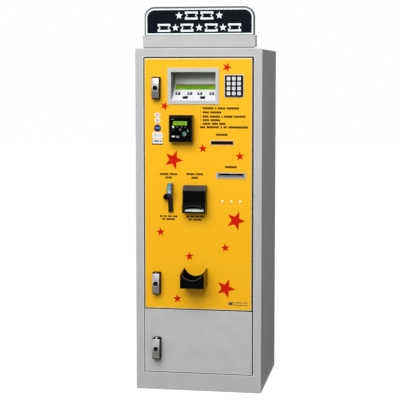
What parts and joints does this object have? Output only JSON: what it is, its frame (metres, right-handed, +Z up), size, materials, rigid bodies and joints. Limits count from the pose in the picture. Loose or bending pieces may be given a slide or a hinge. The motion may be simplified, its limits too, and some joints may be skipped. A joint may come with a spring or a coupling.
{
  "type": "ticket dispenser",
  "caption": "Free-standing ticket vending cabinet with a hinged machine door, a cash door, a lit sign, display, keypad, card reader, coin and note inlets and a coin cup.",
  "frame": {"origin": "centre of the cabinet's footprint, on the floor", "axes": "+X to the right as seen from the front, +Y into the cabinet from the doors to the back, +Z up"},
  "size_m": [0.554, 0.6365, 1.6785],
  "materials": {
    "cabinet_paint": "satin powder coat, light grey",
    "door_paint": "satin powder coat, light grey",
    "zinc_steel": "zinc plated steel sheet",
    "yellow_print": "satin printed vinyl sheet",
    "sign_case_paint": "satin black",
    "sign_print": "gloss printed acrylic",
    "bezel_grey": "satin powder coat, pale grey",
    "panel_white": "satin printed panel",
    "screen_green": "backlit green screen",
    "key_white": "moulded key cap",
    "key_black": "moulded key cap",
    "black_gloss": "gloss moulded plastic",
    "black_matte": "fine-grained moulded plastic",
    "lock_black": "black die casting",
    "chrome": "bright chrome plate",
    "steel_bright": "brushed stainless steel",
    "device_grey": "moulded device casing",
    "electronics": "plain aluminium cases",
    "paper": "card stock"
  },
  "bodies": {
    "cabinet": {"cabinet_wrap": "cabinet_paint", "back_panel": "cabinet_paint", "floor_panel": "zinc_steel", "front_frame": "cabinet_paint", "divider_shelf": "zinc_steel", "hinge_pivots": "steel_bright", "sign_base": "cabinet_paint", "sign_case": "sign_case_paint", "sign_face": "sign_print", "ticket_bin": "zinc_steel", "ticket_pack": "paper", "electronics_tray": "electronics", "cash_box": "zinc_steel"},
    "upper_door": {"upper_door": "door_paint", "yellow_overlay": "yellow_print", "upper_lock_housings": "lock_black", "display_bezel": "bezel_grey", "display_panel": "panel_white", "lcd_screen": "screen_green", "keypad_plate": "black_matte", "card_reader": "black_gloss", "receipt_printer": "device_grey", "ticket_bezel": "steel_bright", "ticket_feeder": "device_grey", "dome_bolts": "chrome", "coin_inlet": "black_gloss", "coin_validator": "device_grey", "note_bezel": "black_gloss", "note_acceptor": "device_grey", "coin_cup": "black_gloss"},
    "lower_door": {"lower_door": "door_paint", "lower_lock_housing": "lock_black"},
    "top_lock_bolt": {"top_lock_bolt": "steel_bright"},
    "top_lock_handle": {"top_lock_handle": "chrome"},
    "top_lock_plug": {"top_lock_plug": "lock_black"},
    "middle_lock_bolt": {"middle_lock_bolt": "steel_bright"},
    "middle_lock_handle": {"middle_lock_handle": "chrome"},
    "middle_lock_plug": {"middle_lock_plug": "lock_black"},
    "lower_lock_bolt": {"lower_lock_bolt": "steel_bright"},
    "lower_lock_handle": {"lower_lock_handle": "chrome"},
    "lower_lock_plug": {"lower_lock_plug": "lock_black"},
    "coin_return_button": {"coin_return_button": "black_matte"},
    "soft_key_1": {"soft_key_1": "key_black"},
    "soft_key_2": {"soft_key_2": "key_black"},
    "soft_key_3": {"soft_key_3": "key_black"},
    "soft_key_4": {"soft_key_4": "key_black"},
    "menu_key_1": {"menu_key_1": "key_black"},
    "menu_key_2": {"menu_key_2": "key_black"},
    "key_1": {"key_1": "key_white"},
    "key_2": {"key_2": "key_white"},
    "key_3": {"key_3": "key_white"},
    "key_4": {"key_4": "key_white"},
    "key_5": {"key_5": "key_white"},
    "key_6": {"key_6": "key_white"},
    "key_7": {"key_7": "key_white"},
    "key_8": {"key_8": "key_white"},
    "key_9": {"key_9": "key_white"},
    "key_star": {"key_star": "key_white"},
    "key_0": {"key_0": "key_white"},
    "key_hash": {"key_hash": "key_white"}
  },
  "joints": [
    {"name": "upper_door_hinge", "type": "hinge", "parent": "cabinet", "child": "upper_door", "pos_m": [0.228, -0.262, 0.91075], "axis": [0, 0, 1], "range_deg": [0, 105]},
    {"name": "lower_door_hinge", "type": "hinge", "parent": "cabinet", "child": "lower_door", "pos_m": [0.228, -0.262, 0.22], "axis": [0, 0, 1], "range_deg": [0, 105]},
    {"name": "top_lock_turn", "type": "hinge", "parent": "upper_door", "child": "top_lock_bolt", "pos_m": [-0.182, -0.27, 1.329], "axis": [0, -1, 0], "range_deg": [0, 90]},
    {"name": "top_lock_pop", "type": "slide", "parent": "top_lock_bolt", "child": "top_lock_handle", "axis": [0, -1, 0], "range_m": [0, 0.02]},
    {"name": "top_key_turn", "type": "hinge", "parent": "top_lock_handle", "child": "top_lock_plug", "pos_m": [-0.182, -0.27, 1.329], "axis": [0, -1, 0], "range_deg": [0, 90]},
    {"name": "middle_lock_turn", "type": "hinge", "parent": "upper_door", "child": "middle_lock_bolt", "pos_m": [-0.182, -0.27, 0.478], "axis": [0, -1, 0], "range_deg": [0, 90]},
    {"name": "middle_lock_pop", "type": "slide", "parent": "middle_lock_bolt", "child": "middle_lock_handle", "axis": [0, -1, 0], "range_m": [0, 0.02]},
    {"name": "middle_key_turn", "type": "hinge", "parent": "middle_lock_handle", "child": "middle_lock_plug", "pos_m": [-0.182, -0.27, 0.478], "axis": [0, -1, 0], "range_deg": [0, 90]},
    {"name": "lower_lock_turn", "type": "hinge", "parent": "lower_door", "child": "lower_lock_bolt", "pos_m": [-0.182, -0.27, 0.1885], "axis": [0, -1, 0], "range_deg": [0, 90]},
    {"name": "lower_lock_pop", "type": "slide", "parent": "lower_lock_bolt", "child": "lower_lock_handle", "axis": [0, -1, 0], "range_m": [0, 0.02]},
    {"name": "lower_key_turn", "type": "hinge", "parent": "lower_lock_handle", "child": "lower_lock_plug", "pos_m": [-0.182, -0.27, 0.1885], "axis": [0, -1, 0], "range_deg": [0, 90]},
    {"name": "coin_return_press", "type": "slide", "parent": "upper_door", "child": "coin_return_button", "axis": [0, 1, 0], "range_m": [0, 0.004], "stiffness_N_per_m": 200, "springref_m": -0.001},
    {"name": "soft_key_1_press", "type": "slide", "parent": "upper_door", "child": "soft_key_1", "axis": [0, 0.5961, -0.8029], "range_m": [0, 0.0015], "stiffness_N_per_m": 300, "springref_m": -0.0005},
    {"name": "soft_key_2_press", "type": "slide", "parent": "upper_door", "child": "soft_key_2", "axis": [0, 0.5961, -0.8029], "range_m": [0, 0.0015], "stiffness_N_per_m": 300, "springref_m": -0.0005},
    {"name": "soft_key_3_press", "type": "slide", "parent": "upper_door", "child": "soft_key_3", "axis": [0, 0.5961, -0.8029], "range_m": [0, 0.0015], "stiffness_N_per_m": 300, "springref_m": -0.0005},
    {"name": "soft_key_4_press", "type": "slide", "parent": "upper_door", "child": "soft_key_4", "axis": [0, 0.5961, -0.8029], "range_m": [0, 0.0015], "stiffness_N_per_m": 300, "springref_m": -0.0005},
    {"name": "menu_key_1_press", "type": "slide", "parent": "upper_door", "child": "menu_key_1", "axis": [0, 0.5961, -0.8029], "range_m": [0, 0.0015], "stiffness_N_per_m": 300, "springref_m": -0.0005},
    {"name": "menu_key_2_press", "type": "slide", "parent": "upper_door", "child": "menu_key_2", "axis": [0, 0.5961, -0.8029], "range_m": [0, 0.0015], "stiffness_N_per_m": 300, "springref_m": -0.0005},
    {"name": "key_1_press", "type": "slide", "parent": "upper_door", "child": "key_1", "axis": [0, 1, 0], "range_m": [0, 0.0015], "stiffness_N_per_m": 300, "springref_m": -0.0005},
    {"name": "key_2_press", "type": "slide", "parent": "upper_door", "child": "key_2", "axis": [0, 1, 0], "range_m": [0, 0.0015], "stiffness_N_per_m": 300, "springref_m": -0.0005},
    {"name": "key_3_press", "type": "slide", "parent": "upper_door", "child": "key_3", "axis": [0, 1, 0], "range_m": [0, 0.0015], "stiffness_N_per_m": 300, "springref_m": -0.0005},
    {"name": "key_4_press", "type": "slide", "parent": "upper_door", "child": "key_4", "axis": [0, 1, 0], "range_m": [0, 0.0015], "stiffness_N_per_m": 300, "springref_m": -0.0005},
    {"name": "key_5_press", "type": "slide", "parent": "upper_door", "child": "key_5", "axis": [0, 1, 0], "range_m": [0, 0.0015], "stiffness_N_per_m": 300, "springref_m": -0.0005},
    {"name": "key_6_press", "type": "slide", "parent": "upper_door", "child": "key_6", "axis": [0, 1, 0], "range_m": [0, 0.0015], "stiffness_N_per_m": 300, "springref_m": -0.0005},
    {"name": "key_7_press", "type": "slide", "parent": "upper_door", "child": "key_7", "axis": [0, 1, 0], "range_m": [0, 0.0015], "stiffness_N_per_m": 300, "springref_m": -0.0005},
    {"name": "key_8_press", "type": "slide", "parent": "upper_door", "child": "key_8", "axis": [0, 1, 0], "range_m": [0, 0.0015], "stiffness_N_per_m": 300, "springref_m": -0.0005},
    {"name": "key_9_press", "type": "slide", "parent": "upper_door", "child": "key_9", "axis": [0, 1, 0], "range_m": [0, 0.0015], "stiffness_N_per_m": 300, "springref_m": -0.0005},
    {"name": "key_star_press", "type": "slide", "parent": "upper_door", "child": "key_star", "axis": [0, 1, 0], "range_m": [0, 0.0015], "stiffness_N_per_m": 300, "springref_m": -0.0005},
    {"name": "key_0_press", "type": "slide", "parent": "upper_door", "child": "key_0", "axis": [0, 1, 0], "range_m": [0, 0.0015], "stiffness_N_per_m": 300, "springref_m": -0.0005},
    {"name": "key_hash_press", "type": "slide", "parent": "upper_door", "child": "key_hash", "axis": [0, 1, 0], "range_m": [0, 0.0015], "stiffness_N_per_m": 300, "springref_m": -0.0005}
  ]
}
